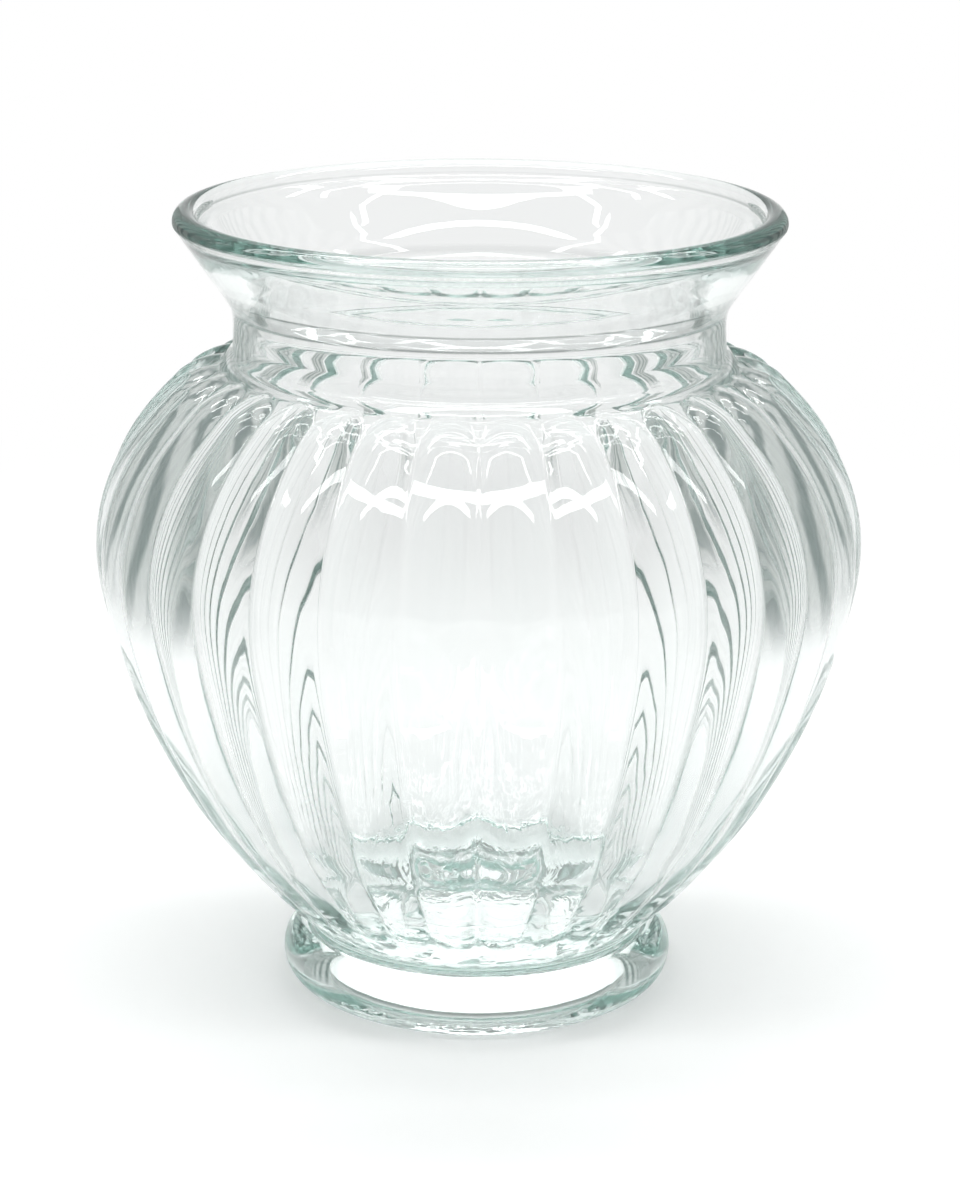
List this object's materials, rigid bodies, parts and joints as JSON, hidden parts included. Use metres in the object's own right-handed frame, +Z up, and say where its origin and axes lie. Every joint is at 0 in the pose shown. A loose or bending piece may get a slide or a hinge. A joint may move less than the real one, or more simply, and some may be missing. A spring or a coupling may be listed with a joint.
{
  "type": "vase",
  "caption": "Round-bellied clear glass vase with convex vertical lobes, flared collar with a rounded lip, and a half-round ring foot.",
  "frame": {"origin": "middle of the foot, on the surface that the vase stands on", "axes": "+Z up along the axis of the vase, towards its mouth"},
  "size_m": [0.1912, 0.1912, 0.2],
  "materials": {
    "glass": "clear machine-moulded soda-lime glass with a faint sea-green tint, fire polished"
  },
  "bodies": {
    "root": {"foot": "glass", "bowl": "glass", "collar": "glass"}
  },
  "joints": []
}
